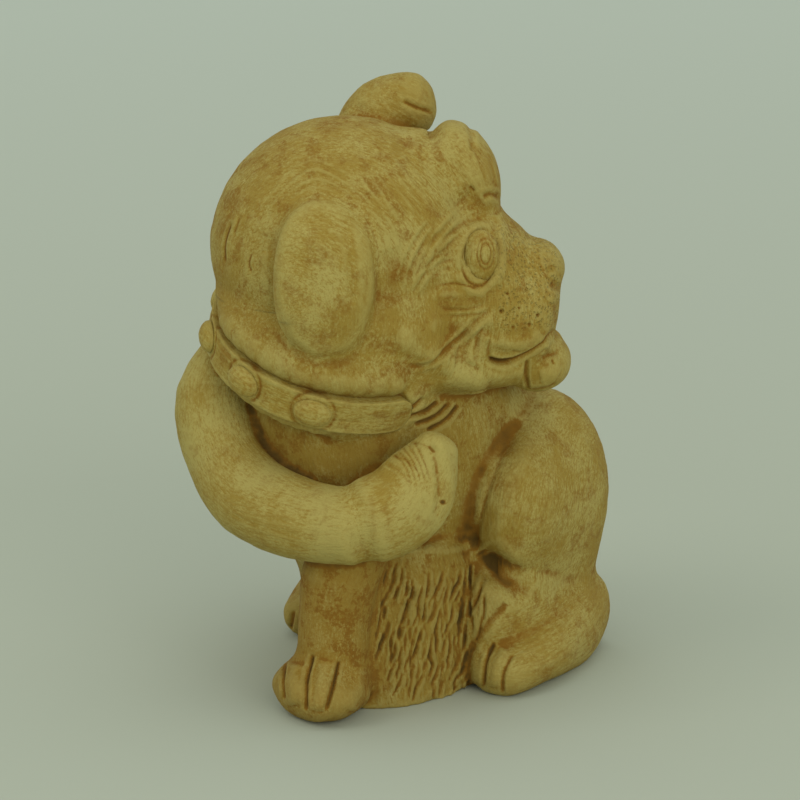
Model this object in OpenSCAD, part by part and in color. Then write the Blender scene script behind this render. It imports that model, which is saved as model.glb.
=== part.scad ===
// Seated dog, built by hand in clay: a hollow trunk and head, with limbs, ears, collar and studs
// formed as separate pieces and luted on with slip before firing.
// The dog faces -Y, its left is +X and +Z is up. Its head is turned back over its left shoulder.

/* [Trunk] */
// Width of the trunk at the ribs
trunk_w = 80; // [72:1:90]
// Length of the trunk, chest to rump
trunk_l = 118; // [106:1:128]
// Height of the trunk, ground to withers
trunk_h = 126; // [116:1:134]
// Thickness of the clay wall of trunk, neck and head
wall = 9; // [6:0.5:11]

/* [Base] */
// Width of the slab that closes the trunk underneath
slab_w = 42; // [34:1:44]
// Length of that slab
slab_l = 66; // [54:1:70]
// Thickness of that slab
slab_t = 8; // [6:0.5:10]
// Diameter of the vent that lets steam out in the kiln
vent_d = 8; // [5:0.5:12]

/* [Head] */
// Length of the skull, brow to nape
skull_l = 89; // [82:1:96]
// Width of the skull
skull_w = 82; // [74:1:90]
// Height of the skull
skull_h = 87; // [80:1:94]
// Reach of the muzzle in front of the brow
muzzle_l = 15.5; // [12:0.5:19]
// Width of the muzzle
muzzle_w = 50; // [44:1:56]
// Height of the muzzle, lower jaw included
muzzle_h = 50; // [46:1:54]
// Turn of the head away from straight ahead
head_turn = 135; // [120:5:150]

/* [Ears] */
// Length of the right ear, which hangs
flap_l = 54; // [46:1:60]
// Width of the right ear
flap_w = 32; // [26:1:36]
// Thickness of the right ear
flap_t = 10; // [8:0.5:12]
// Length of the left ear, which stands
lobe_l = 36; // [30:1:40]
// Thickness of the left ear
lobe_t = 20; // [16:0.5:24]

/* [Face] */
// Diameter of each eyeball
eye_d = 15; // [12:0.5:17]
// Width of the nose
nose_w = 30; // [26:1:34]
// Width of the chin
chin_w = 30; // [26:1:34]

/* [Neck and collar] */
// Diameter of the neck
neck_d = 76; // [70:1:80]
// Length of the neck, from its seat in the trunk to its end in the head
neck_l = 30; // [26:1:36]
// Lean of the neck towards the dog's left
neck_lean = 22; // [14:1:26]
// Width of the collar strap
strap_w = 12.5; // [10:0.5:15]
// Thickness of the collar strap
strap_t = 4; // [3:0.25:5.5]
// Number of studs pressed on the strap
stud_count = 7; // [5:1:7]
// Length of a stud along the strap
stud_l = 13; // [10:0.5:15]
// Width of a stud across the strap
stud_w = 10; // [7:0.5:11]
// Height of a stud above the strap
stud_h = 3.5; // [2.5:0.25:5]

/* [Forelegs] */
// Diameter of the standing left foreleg
leg_d = 25; // [21:0.5:28]
// Diameter of the raised right foreleg
arm_d = 27; // [23:0.5:30]
// Width of the standing paw
paw_w = 36; // [30:1:40]
// Length of the standing paw
paw_l = 37; // [32:1:42]
// Height of the standing paw
paw_h = 22; // [18:1:25]
// Width of the raised paw
mitt_w = 25; // [21:1:28]

/* [Hind legs] */
// Length of the thigh, front to back
thigh_l = 56; // [50:1:60]
// Thickness of the thigh, side to side
thigh_w = 46; // [40:1:50]
// Height of the thigh
thigh_h = 74; // [66:1:80]
// Length of the hind foot, heel to toe
foot_l = 76; // [68:1:82]
// Width of the hind foot
foot_w = 25; // [21:1:28]
// Height of the hind foot
foot_h = 24; // [20:1:27]

/* [Tail] */
// Length of the stub tail
tail_l = 24; // [16:1:30]
// Diameter of the stub tail at its root
tail_d = 18; // [14:1:22]

/* [Hidden] */

// Middle of the footprint, which the whole figure is moved back from
middle = [2.6, 12.4, 0];
// Points round each ring of a big and of a small hand-worked form
sides = 30;
few_sides = 22;
// Fired clay, from its pale rubbed tops to the stain left in its hollows
pale_clay = [0.62, 0.57, 0.31];
warm_clay = [0.55, 0.47, 0.22];
dark_clay = [0.44, 0.35, 0.13];

// Landmarks of the trunk that limbs are set from
side_x = trunk_w / 2;
trunk_y = trunk_l / 2 - 40;
rump_y = trunk_l - 38;
// Landmarks of the head, in its own frame: its brow, crown, cheek and the front of its muzzle
skull_at = [6, 0, 1];
brow_x = skull_at[0] + skull_l / 2;
crown_z = skull_at[2] + skull_h / 2;
cheek_y = skull_w / 2;
muzzle_x = brow_x + muzzle_l;
// Middle of the collar, and the middle of the head
neck_at = [-0.6, -17.7, trunk_h - 9.2];
head_at = [-2, -19, trunk_h + 24];
neck_r = neck_d / 2;
neck_root = 11;
// How far the neck dips towards the dog's front, in degrees
neck_dip = 4.5;
// Where the strap starts and how far it goes, as turns about the neck
strap_from = 60;
strap_turn = 290;
// First stud and the turn from each to the next
stud_from = -14;
stud_step = 36;
// Toes of the two hind feet, and the fronts of the two knees
left_toe = [side_x + 10, rump_y - foot_l - 2];
right_toe = [side_x - 4, rump_y - foot_l - 5];
left_knee_y = rump_y - 53;
right_knee_y = rump_y - 51;

function unit(v) = v / norm(v);
function xyz(k) = [k[0], k[1], k[2]];
function key(keys, i) = keys[max(0, min(len(keys) - 1, i))];
function spline(a, b, c, d, t) =
    (2 * b + (c - a) * t + (2 * a - 5 * b + 4 * c - d) * t * t
        + (3 * b - a - 3 * c + d) * t * t * t) / 2;
// Stations on a smooth path through hand-placed ones, each [x, y, z, half width, half height]
function smoothed(keys, steps) = [
    for (i = [0 : len(keys) - 2])
        for (s = [0 : steps - 1])
            spline(key(keys, i - 1), key(keys, i), key(keys, i + 1), key(keys, i + 2), s / steps),
    keys[len(keys) - 1]
];
function heading(path, i) = unit(xyz(key(path, i + 1)) - xyz(key(path, i - 1)));
// A ring square to the heading, its half height measured along up
function ring(k, way, up, n) =
    let (across = unit(cross(up, way)), over = cross(way, across))
    [for (i = [0 : n - 1]) xyz(k) + across * k[3] * cos(360 * i / n) + over * k[4] * sin(360 * i / n)];
function shrunk(k, way, depth, a) =
    let (p = xyz(k) + way * depth * sin(a))
    [p[0], p[1], p[2], k[3] * cos(a), k[4] * cos(a)];
// A level ring, square-shouldered where power is above 2
function level_ring(k, power, n) = [
    for (i = [0 : n - 1])
        let (c = cos(360 * i / n), s = sin(360 * i / n))
        [
            k[0] + k[3] * sign(c) * pow(abs(c), 2 / power),
            k[1] + k[4] * sign(s) * pow(abs(s), 2 / power),
            k[2]
        ]
];

// Closed skin over a stack of rings, with a point at each end
module skin(first, rings, last) {
    n = len(rings[0]);
    count = len(rings);
    end = count * n + 1;
    polyhedron(
        concat([first], [for (r = rings) each r], [last]),
        concat(
            [for (j = [0 : n - 1]) [0, 1 + j, 1 + (j + 1) % n]],
            [
                for (i = [0 : count - 2])
                    for (j = [0 : n - 1])
                        let (a = 1 + i * n + j, b = 1 + i * n + (j + 1) % n)
                        each [[a, a + n, b + n], [a, b + n, b]]
            ],
            [for (j = [0 : n - 1]) [end, end - n + (j + 1) % n, end - n + j]]
        )
    );
}

// A rolled limb of clay along a path of stations, rounded over at both ends
module limb(keys, up, butt, tip, steps = 4, n = few_sides) {
    path = smoothed(keys, steps);
    last = len(path) - 1;
    out = heading(path, 0);
    in = heading(path, last);
    skin(
        xyz(path[0]) - out * butt,
        concat(
            [for (a = [60, 30]) ring(shrunk(path[0], -out, butt, a), out, up, n)],
            [for (i = [0 : last]) ring(path[i], heading(path, i), up, n)],
            [for (a = [30, 60]) ring(shrunk(path[last], in, tip, a), in, up, n)]
        ),
        xyz(path[last]) + in * tip
    );
}

// A pinched-up wall of clay in level rings, flat at both ends
module coil_built(keys, power, steps = 3, n = sides) {
    path = smoothed(keys, steps);
    last = len(path) - 1;
    skin(
        xyz(path[0]),
        [for (k = path) level_ring(k, power, n)],
        xyz(path[last])
    );
}

module ellipsoid(at, radii, n = sides) {
    translate(at)
        scale(radii)
            sphere(1, $fn = n);
}

// Clay shapes pressed together or trimmed against each other become one worked skin
module worked() {
    resize([0, 0, 0])
        children();
}

// The figure stands with the middle of its footprint over the origin
module placed() {
    translate(-middle)
        children();
}

// Everything below the ground is cut off flat
module ground() {
    translate([-150, -150, -60])
        cube([300, 300, 60]);
}

module in_neck() {
    translate(neck_at)
        rotate([neck_dip, neck_lean, 0])
            children();
}

module in_head() {
    translate(head_at)
        rotate([0, 0, head_turn - 90])
            children();
}

// Stations of the trunk, drawn in by the given depth of wall
function trunk_keys(wall_in, from, to) = [
    for (k = [
        [3, 0, 0.36, 0.38],
        [7, 0.14, 0.37, 0.42],
        [8, 0.30, 0.38, 0.44],
        [2, 0.50, 0.46, 0.49],
        [-3, 0.68, 0.50, 0.50],
        [50 - trunk_l / 2, 0.82, 0.50, 0.46],
        [40 - trunk_l / 2, 0.92, 0.46, 0.35],
        [28 - trunk_l / 2, 1, 0.32, 0.18]
    ])
        [0, trunk_y + k[0], from + (to - from) * k[1], k[2] * trunk_w - wall_in, k[3] * trunk_l - wall_in]
];

module trunk_form() {
    coil_built(trunk_keys(0, 0, trunk_h - 7), 2.3);
}

module trunk_hollow() {
    coil_built(trunk_keys(wall, slab_t, trunk_h - 6), 2.3);
}

module slab_outline() {
    r = slab_w / 3;
    hull()
        for (x = [-1, 1])
            for (y = [-1, 1])
                translate([x * (slab_w / 2 - r), y * (slab_l / 2 - r)])
                    circle(r, $fn = 32);
}

module slab_form() {
    translate([0, trunk_y, 0])
        linear_extrude(slab_t)
            slab_outline();
}

module neck_form() {
    in_neck()
        translate([0, 0, -neck_root])
            cylinder(h = neck_l, r = neck_r, $fn = 48);
}

module band(turn) {
    rotate_extrude(angle = turn, $fn = 72)
        translate([neck_r, -strap_w / 2])
            square([strap_t, strap_w]);
}

// The strap stops short of the folds on each side, with both ends rounded
module strap_form() {
    rotate([0, 0, strap_from])
        band(strap_turn);
    for (a = [strap_from, strap_from + strap_turn])
        intersection() {
            band(360);
            rotate([0, 90, a])
                cylinder(h = 2 * neck_r, d = strap_w, $fn = 32);
        }
}

module collar_room() {
    in_neck()
        cylinder(h = strap_w, r = neck_r + strap_t, center = true, $fn = 48);
}

// On its high side the collar hides what lies under the head
module under_collar() {
    in_neck()
        translate([-2 * neck_r, -1.5 * neck_r, strap_w / 2 - neck_r])
            cube([2 * neck_r, 3 * neck_r, neck_r]);
}

module stud_form(i) {
    in_neck()
        rotate([0, 0, stud_from - i * stud_step])
            translate([neck_r + strap_t, 0, 0])
                ellipsoid([0, 0, 0], [stud_h, stud_l / 2, stud_w / 2], 16);
}

module folds_form() {
    fold_d = 6.8;
    in_neck()
        rotate([0, 0, strap_from + strap_turn + 4])
            for (i = [0 : 3])
                rotate_extrude(angle = 352 - strap_turn, $fn = 60)
                    translate([neck_r + 1, 7 - i * fold_d * 0.75])
                        circle(d = fold_d, $fn = 16);
}

module skull_form() {
    ellipsoid(skull_at, [skull_l, skull_w, skull_h] / 2, 32);
}

module head_hollow() {
    ellipsoid(skull_at, [skull_l, skull_w, skull_h] / 2 - [wall, wall, wall], few_sides);
}

module jowl_form() {
    ellipsoid([9, 0, -19], [skull_l * 0.48, cheek_y + 1, 32], few_sides);
}

module muzzle_form() {
    half_w = muzzle_w / 2;
    half_h = muzzle_h / 2;
    limb(
        [
            [brow_x - 28, 0, -8, half_w + 7, half_h + 9],
            [brow_x - 8, 0, -11, half_w + 3, half_h + 4],
            [brow_x + 7, 0, -19.5, half_w, half_h],
            [muzzle_x + 3.5, 0, -22, half_w - 4, half_h - 2]
        ],
        [0, 0, 1], 8, 8
    );
}

module jaw_form() {
    half_w = muzzle_w / 2;
    limb(
        [
            [brow_x - 34, 0, -34, half_w + 8, 15],
            [brow_x - 10, 0, -36, half_w + 2, 12],
            [muzzle_x - 4, 0, -37, half_w - 6, 9]
        ],
        [0, 0, 1], 6, 8
    );
}

module chin_form() {
    ellipsoid([muzzle_x + 4, 0, -38], [12, chin_w / 2, 10.5], few_sides);
}

module nose_form() {
    ellipsoid([muzzle_x + 3, 0, -6.5], [10.5, nose_w / 2, 10], few_sides);
}

module eye_form(side) {
    ellipsoid(
        [brow_x + 0.5, side * (muzzle_w / 2 - 4), 2],
        [eye_d * 0.4, eye_d / 3, eye_d * 0.6],
        few_sides
    );
}

module head_form() {
    skull_form();
    jowl_form();
    muzzle_form();
}

module right_ear_form() {
    half_w = flap_w / 2;
    half_t = flap_t / 2;
    limb(
        [
            [3, 6 - cheek_y, flap_l / 2 - 8, half_w - 4, half_t],
            [1, -cheek_y, 9, half_w, half_t + 1],
            [0, -cheek_y - 2, -8, half_w, half_t + 1],
            [1, -cheek_y - 1, 8 - flap_l / 2, half_w - 3, half_t]
        ],
        [0, -1, 0], 5, 8
    );
}

module left_ear_form() {
    r = lobe_t / 2;
    limb(
        [
            [10, cheek_y - 14, crown_z - 12, r, r - 1],
            [18, cheek_y - 15, crown_z - 3, r + 1, r + 1],
            [lobe_l - 7, cheek_y - 16, crown_z, r, r + 1]
        ],
        [0, 0, 1], 6, 8
    );
}

module brow_form() {
    limb(
        [
            [brow_x - 19, 0, crown_z - 10, 12, 9],
            [brow_x - 8, 0, crown_z - 12, 14, 10],
            [brow_x - 2, 0, crown_z - 19, 15, 9],
            [brow_x + 1, 0, crown_z - 29, 13, 7]
        ],
        [1, 0, 1], 5, 4
    );
}

module left_foreleg_form() {
    r = leg_d / 2;
    x = side_x - 16;
    limb(
        [
            [x, -41.5, 11, r, r],
            [x, -41, (trunk_h - 66) / 2, r - 0.5, r - 0.5],
            [x + 2, -38, trunk_h - 74, r + 0.5, r + 1],
            [x + 7, -30, trunk_h - 60, r - 1, r - 1],
            [x + 9, -24, trunk_h - 51, r - 4, r - 4]
        ],
        [0, 1, 0], 5, 6
    );
}

module left_forepaw_form() {
    x = side_x - 16;
    difference() {
        limb(
            [
                [x, -40, paw_h * 0.45, paw_w / 2 - 3, paw_h / 2],
                [x - 1, -48, paw_h * 0.42, paw_w / 2, paw_h / 2],
                [x - 2, -31 - paw_l * 0.6, paw_h * 0.36, paw_w / 2 - 1, paw_h / 2 - 2]
            ],
            [0, 0, 1], 10, 7
        );
        ground();
    }
}

module right_foreleg_form() {
    r = arm_d / 2;
    limb(
        [
            [11 - side_x, -27, trunk_h - 13, r - 1, r + 3],
            [10 - side_x, -42, trunk_h - 29, r + 1, r + 2],
            [21 - side_x, -49, trunk_h - 45, r + 1, r],
            [-3, -53, trunk_h - 54.5, r + 1, r],
            [side_x - 20, -52, trunk_h - 58, r, r],
            [side_x, -45, trunk_h - 58, r - 1, r]
        ],
        [0, -1, 0], 8, 5
    );
}

module right_forepaw_form() {
    w = mitt_w / 2;
    limb(
        [
            [side_x + 2, -43, trunk_h - 56, w + 2, w],
            [side_x + 7, -33, trunk_h - 52, w + 2, w],
            [side_x + 9, -25, trunk_h - 43, w, w - 2],
            [side_x + 11, -20, trunk_h - 34, w - 5, w - 5]
        ],
        [1, -1, 0], 6, 5
    );
}

module haunch_form(side, knee_y) {
    low = foot_h - 2;
    hull() {
        ellipsoid(
            [side * (side_x - 8), rump_y - 32, low + thigh_h / 2],
            [thigh_w, thigh_l, thigh_h] / 2,
            30
        );
        ellipsoid(
            [side * (side_x + 2), knee_y, low + thigh_h * 0.53],
            [thigh_w * 0.36, thigh_l * 0.34, thigh_h * 0.31],
            24
        );
        ellipsoid(
            [side * (side_x - 6), rump_y - 26, foot_h],
            [foot_w * 0.52, foot_w * 0.64, 9],
            24
        );
    }
}

module hind_foot_form(side, toe) {
    h = foot_h / 2;
    w = foot_w / 2;
    heel_x = side_x - 6;
    difference() {
        limb(
            [
                [side * toe[0], toe[1] + 9, h * 0.6, w, h * 0.75],
                [side * (toe[0] * 0.4 + heel_x * 0.85), toe[1] + foot_l * 0.35, h * 0.9, w + 1, h],
                [side * (heel_x + 8), toe[1] + foot_l * 0.65, h, w + 1, h + 4],
                [side * heel_x, toe[1] + foot_l * 0.88, h * 1.2, w - 1, h + 4]
            ],
            [0, 0, 1], 8, 8
        );
        ground();
    }
}

module belly_fur_form() {
    x = side_x - 25;
    knee = left_knee_y;
    coil_built(
        [
            for (k = [
                [x, -38, knee + 1, 0, 27],
                [x, -36, knee + 1, 16, 26],
                [x, -33, knee + 2, (trunk_h - 58) / 2, 25],
                [x - 2, -29, knee + 2, trunk_h - 74, 22]
            ])
                [k[0], (k[1] + k[2]) / 2, k[3], k[4], (k[2] - k[1]) / 2]
        ],
        2.4
    );
}

module tail_form() {
    r = tail_d / 2;
    limb(
        [
            [0, rump_y - 11, 30, r, r],
            [0, rump_y - 3, 24, r, r],
            [0, rump_y - 18 + tail_l, 15, r - 3, r - 3]
        ],
        [0, 0, 1], 4, 5
    );
}

// The hollow carries on from trunk to head through the neck, and out at the vent
module trunk() {
    color(warm_clay)
        placed()
            worked()
                difference() {
                    trunk_form();
                    trunk_hollow();
                    neck_form();
                    slab_form();
                    in_head()
                        chin_form();
                }
}

module base_slab() {
    color(dark_clay)
        placed()
            translate([0, trunk_y, 0])
                linear_extrude(slab_t)
                    difference() {
                        slab_outline();
                        circle(d = vent_d, $fn = 48);
                    }
}

module neck() {
    color(warm_clay)
        placed()
            in_neck()
                translate([0, 0, -neck_root])
                    linear_extrude(neck_l)
                        difference() {
                            circle(neck_r, $fn = 48);
                            circle(neck_r - wall, $fn = 48);
                        }
}

module head() {
    color(pale_clay)
        placed()
            worked()
                difference() {
                    in_head()
                        difference() {
                            head_form();
                            head_hollow();
                            jaw_form();
                            chin_form();
                            nose_form();
                            eye_form(1);
                            eye_form(-1);
                        }
                    neck_form();
                    collar_room();
                    under_collar();
                    trunk_form();
                }
}

module lower_jaw() {
    color(warm_clay)
        placed()
            worked()
                difference() {
                    in_head()
                        difference() {
                            jaw_form();
                            chin_form();
                            head_hollow();
                        }
                    neck_form();
                    collar_room();
                    trunk_form();
                }
}

module chin() {
    color(warm_clay)
        placed()
            in_head()
                chin_form();
}

module nose() {
    color(pale_clay)
        placed()
            in_head()
                nose_form();
}

module right_eye() {
    color(pale_clay)
        placed()
            in_head()
                eye_form(-1);
}

module left_eye() {
    color(pale_clay)
        placed()
            in_head()
                eye_form(1);
}

module right_ear() {
    color(pale_clay)
        placed()
            worked()
                difference() {
                    in_head()
                        difference() {
                            right_ear_form();
                            head_form();
                        }
                    collar_room();
                    neck_form();
                }
}

module left_ear() {
    color(pale_clay)
        placed()
            in_head()
                worked()
                    difference() {
                        left_ear_form();
                        head_form();
                        brow_form();
                    }
}

module brow_tuft() {
    color(warm_clay)
        placed()
            in_head()
                worked()
                    difference() {
                        brow_form();
                        head_form();
                    }
}

module collar() {
    color(warm_clay)
        placed()
            worked()
                difference() {
                    in_neck()
                        strap_form();
                    trunk_form();
                }
}

module collar_stud(i) {
    color(pale_clay)
        placed()
            worked()
                difference() {
                    stud_form(i);
                    collar_room();
                    trunk_form();
                    in_head() {
                        head_form();
                        jaw_form();
                    }
                }
}

module neck_folds() {
    color(dark_clay)
        placed()
            worked()
                difference() {
                    folds_form();
                    neck_form();
                    trunk_form();
                    left_foreleg_form();
                    in_neck()
                        strap_form();
                    in_head() {
                        head_form();
                        jaw_form();
                    }
                }
}

module left_foreleg() {
    color(dark_clay)
        placed()
            worked()
                difference() {
                    left_foreleg_form();
                    left_forepaw_form();
                    trunk_form();
                    collar_room();
                    neck_form();
                    right_foreleg_form();
                    right_forepaw_form();
                }
}

module left_forepaw() {
    color(warm_clay)
        placed()
            worked()
                difference() {
                    left_forepaw_form();
                    trunk_form();
                }
}

module right_foreleg() {
    color(pale_clay)
        placed()
            worked()
                difference() {
                    right_foreleg_form();
                    trunk_form();
                    neck_form();
                    collar_room();
                    right_forepaw_form();
                }
}

module right_forepaw() {
    color(pale_clay)
        placed()
            worked()
                difference() {
                    right_forepaw_form();
                    trunk_form();
                }
}

module left_haunch() {
    color(warm_clay)
        placed()
            worked()
                difference() {
                    haunch_form(1, left_knee_y);
                    trunk_form();
                    hind_foot_form(1, left_toe);
                    in_head() {
                        jaw_form();
                        chin_form();
                    }
                }
}

module right_haunch() {
    color(warm_clay)
        placed()
            worked()
                difference() {
                    haunch_form(-1, right_knee_y);
                    trunk_form();
                    hind_foot_form(-1, right_toe);
                }
}

module left_hind_foot() {
    color(warm_clay)
        placed()
            worked()
                difference() {
                    hind_foot_form(1, left_toe);
                    trunk_form();
                }
}

module right_hind_foot() {
    color(warm_clay)
        placed()
            worked()
                difference() {
                    hind_foot_form(-1, right_toe);
                    trunk_form();
                }
}

module belly_fur() {
    color(dark_clay)
        placed()
            worked()
                difference() {
                    belly_fur_form();
                    trunk_form();
                    left_foreleg_form();
                    left_forepaw_form();
                    right_foreleg_form();
                    right_forepaw_form();
                    hind_foot_form(1, left_toe);
                    haunch_form(1, left_knee_y);
                }
}

module tail() {
    color(warm_clay)
        placed()
            worked()
                difference() {
                    tail_form();
                    trunk_form();
                }
}

trunk();
base_slab();
neck();
head();
lower_jaw();
chin();
nose();
right_eye();
left_eye();
right_ear();
left_ear();
brow_tuft();
collar();
neck_folds();
left_foreleg();
left_forepaw();
right_foreleg();
right_forepaw();
left_haunch();
right_haunch();
left_hind_foot();
right_hind_foot();
belly_fur();
tail();
for (i = [1 : stud_count])
    collar_stud(i);
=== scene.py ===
import math

import bpy
import numpy as np
from mathutils import Matrix, Vector, kdtree
from mathutils.bvhtree import BVHTree


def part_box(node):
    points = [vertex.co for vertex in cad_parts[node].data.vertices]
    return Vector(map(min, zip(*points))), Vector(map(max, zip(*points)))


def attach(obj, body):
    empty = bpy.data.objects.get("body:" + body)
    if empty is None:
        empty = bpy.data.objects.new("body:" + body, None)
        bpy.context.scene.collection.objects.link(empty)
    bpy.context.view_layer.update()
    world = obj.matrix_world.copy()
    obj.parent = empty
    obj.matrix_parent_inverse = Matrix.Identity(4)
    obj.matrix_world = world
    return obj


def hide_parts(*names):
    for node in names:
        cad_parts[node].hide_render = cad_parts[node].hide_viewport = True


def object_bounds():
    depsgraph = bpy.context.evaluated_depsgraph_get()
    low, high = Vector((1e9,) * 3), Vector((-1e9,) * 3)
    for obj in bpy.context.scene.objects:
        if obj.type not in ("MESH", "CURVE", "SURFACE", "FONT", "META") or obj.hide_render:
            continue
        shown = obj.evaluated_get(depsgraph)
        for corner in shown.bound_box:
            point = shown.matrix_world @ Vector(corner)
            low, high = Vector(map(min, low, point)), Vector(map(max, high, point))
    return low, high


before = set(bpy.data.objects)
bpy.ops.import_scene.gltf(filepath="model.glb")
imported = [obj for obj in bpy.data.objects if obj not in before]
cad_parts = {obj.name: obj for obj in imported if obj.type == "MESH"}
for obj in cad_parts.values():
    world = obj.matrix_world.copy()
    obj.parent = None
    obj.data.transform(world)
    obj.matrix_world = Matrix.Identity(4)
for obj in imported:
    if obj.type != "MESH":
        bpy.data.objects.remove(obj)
cad_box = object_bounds()

# ---------------------------------------------------------------------------
# The rough figure. The maker coils up a hollow trunk and head, then lutes the
# limbs, ears, jaw and brow on with slip and smears every joint over, so the
# figure starts as one skin of clay that runs on from form to form.
# ---------------------------------------------------------------------------
LUTED = ["trunk", "neck", "head", "lower_jaw", "chin", "nose", "brow_tuft", "right_ear",
         "left_ear", "neck_folds", "left_foreleg", "left_forepaw", "right_foreleg",
         "right_forepaw", "left_haunch", "right_haunch", "left_hind_foot",
         "right_hind_foot", "belly_fur", "tail"]
CRISP = ["chin", "left_ear", "neck_folds", "right_forepaw"]
COARSE = 0.0014   # the voxel the rough clay is joined at
FINE = 0.00056    # the voxel of the finished skin


def nothing_selected():
    for o in bpy.context.selected_objects:
        o.select_set(False)


def copy_of(node, name):
    """A merged copy of a CAD form, as an object of its own."""
    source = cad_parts[node]
    copy = bpy.data.objects.new(name, source.data.copy())
    copy.data.materials.clear()
    bpy.context.scene.collection.objects.link(copy)
    nothing_selected()
    copy.select_set(True)
    bpy.context.view_layer.objects.active = copy
    bpy.ops.object.mode_set(mode="EDIT")
    bpy.ops.mesh.select_all(action="SELECT")
    bpy.ops.mesh.remove_doubles(threshold=0.00002)
    bpy.ops.object.mode_set(mode="OBJECT")
    return copy


def applied(obj, kind, **settings):
    """Adds a modifier and applies it, as is done by hand."""
    nothing_selected()
    obj.select_set(True)
    bpy.context.view_layer.objects.active = obj
    modifier = obj.modifiers.new(kind.lower(), kind)
    for key, value in settings.items():
        setattr(modifier, key, value)
    bpy.ops.object.modifier_apply(modifier=modifier.name)
    return obj


def places(mesh):
    co = np.empty(len(mesh.vertices) * 3, np.float32)
    mesh.vertices.foreach_get("co", co)
    return co.reshape(-1, 3).astype(float)


def put_back(mesh, co):
    mesh.vertices.foreach_set("co", co.astype(np.float32).ravel())
    mesh.update()


def edge_pairs(mesh):
    pairs = np.empty(len(mesh.edges) * 2, np.int32)
    mesh.edges.foreach_get("vertices", pairs)
    return pairs.reshape(-1, 2)


def face_corners(mesh):
    corners = np.empty(len(mesh.loops), np.int32)
    mesh.loops.foreach_get("vertex_index", corners)
    return corners.reshape(-1, 4)


def around(values, pairs, count):
    """The mean of each point's neighbours."""
    n = len(count)
    if values.ndim == 1:
        total = np.bincount(pairs[:, 0], values[pairs[:, 1]], n)
        return (total + np.bincount(pairs[:, 1], values[pairs[:, 0]], n)) / count
    return np.stack([around(values[:, k], pairs, count) for k in range(values.shape[1])], 1)


def neighbours(pairs, co):
    """How many neighbours each point has."""
    return np.maximum(np.bincount(pairs.ravel(), minlength=len(co)), 1).astype(float)


def smeared(co, pairs, rounds, share=None):
    """Smooths a skin without shrinking it, more where share is nearer 1."""
    count = neighbours(pairs, co)
    share = np.ones(len(co)) if share is None else share
    for _ in range(rounds):
        for step in (0.5, -0.53):
            co = co + (around(co, pairs, count) - co) * (step * share)[:, None]
    return co


rough = copy_of(LUTED[0], "rough_clay")
others = [copy_of(n, "rough_" + n) for n in LUTED[1:]]
# The slab is luted in from below, so a copy one thickness up closes the hollow
# and leaves the slab its own recess.
lid = copy_of("base_slab", "rough_lid")
slab_low, slab_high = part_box("base_slab")
lid.data.transform(Matrix.Translation((0, 0, slab_high.z - slab_low.z)))
# Wads of clay stuffed in where the skirt of fur meets the thigh and the foot,
# where the jaw hangs from the cheek, and all round the neck above the collar
head_mid = np.array([-4.6, -31.4, 150.0])
muzzle_way = np.array([0.7071, 0.7071, 0.0])
left_way = np.array([-0.7071, 0.7071, 0.0])
neck_mid = Vector((-3.2, -30.1, 116.8))
NECK_LEAN, NECK_DIP = math.radians(22), math.radians(4.5)
neck_turn = Matrix.Rotation(NECK_LEAN, 3, "Y") @ Matrix.Rotation(NECK_DIP, 3, "X")
fur_low, fur_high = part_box("belly_fur")
foot_low, foot_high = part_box("left_hind_foot")
wads = [((fur_high.x + 0.001, foot_low.y + 0.022, foot_high.z - 0.006), (0.012, 0.022, 0.022)),
        ((fur_high.x - 0.005, foot_low.y + 0.028, foot_high.z + 0.018), (0.011, 0.020, 0.020))]
for at in ((40.5, -11.5, 121), (36.5, -17.5, 118), (32, -24, 115)):
    other_side = np.array(at) - 2 * (np.array(at) - head_mid) @ left_way * left_way
    wads += [(Vector(side) / 1000, (0.007, 0.007, 0.007)) for side in (at, other_side)]
ROLL_RADIUS, ROLL_HEIGHT = 35.5, 12.0
for turn in range(-230, -12, 9):
    a = math.radians(turn)
    on_ring = Vector((ROLL_RADIUS * math.cos(a), ROLL_RADIUS * math.sin(a), ROLL_HEIGHT))
    wads.append(((neck_mid + neck_turn @ on_ring) / 1000, (0.0072, 0.0072, 0.0062)))
for at, size in wads:
    nothing_selected()
    bpy.ops.mesh.primitive_ico_sphere_add(subdivisions=3, radius=1, location=at, scale=size)
    bpy.ops.object.transform_apply(location=True, rotation=True, scale=True)
    others.append(bpy.context.object)
nothing_selected()
for o in others + [lid, rough]:
    o.select_set(True)
bpy.context.view_layer.objects.active = rough
bpy.ops.object.join()
applied(rough, "REMESH", mode="VOXEL", voxel_size=COARSE)

owners, corner_list, start = [], [], 0
all_co = []
for index, n in enumerate(LUTED):
    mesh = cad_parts[n].data
    all_co.append(places(mesh))
    for polygon in mesh.polygons:
        corner_list.append([start + v for v in polygon.vertices])
        owners.append(index)
    start += len(mesh.vertices)
forms = BVHTree.FromPolygons(np.concatenate(all_co).tolist(), corner_list)


def nearest_form(co):
    return np.array([owners[forms.find_nearest(p)[2]] for p in co.tolist()], np.int32)


co = places(rough.data)
pairs = edge_pairs(rough.data)
form = nearest_form(co)
# Less smearing on the chin, the standing ear, the folds and the mitt, which keep their edges
loose = np.where(np.isin(form, [LUTED.index(n) for n in CRISP]), 0.55, 1.0)
count = neighbours(pairs, co)
for _ in range(4):
    loose = around(loose, pairs, count)
co = smeared(co, pairs, 14, loose)


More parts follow.
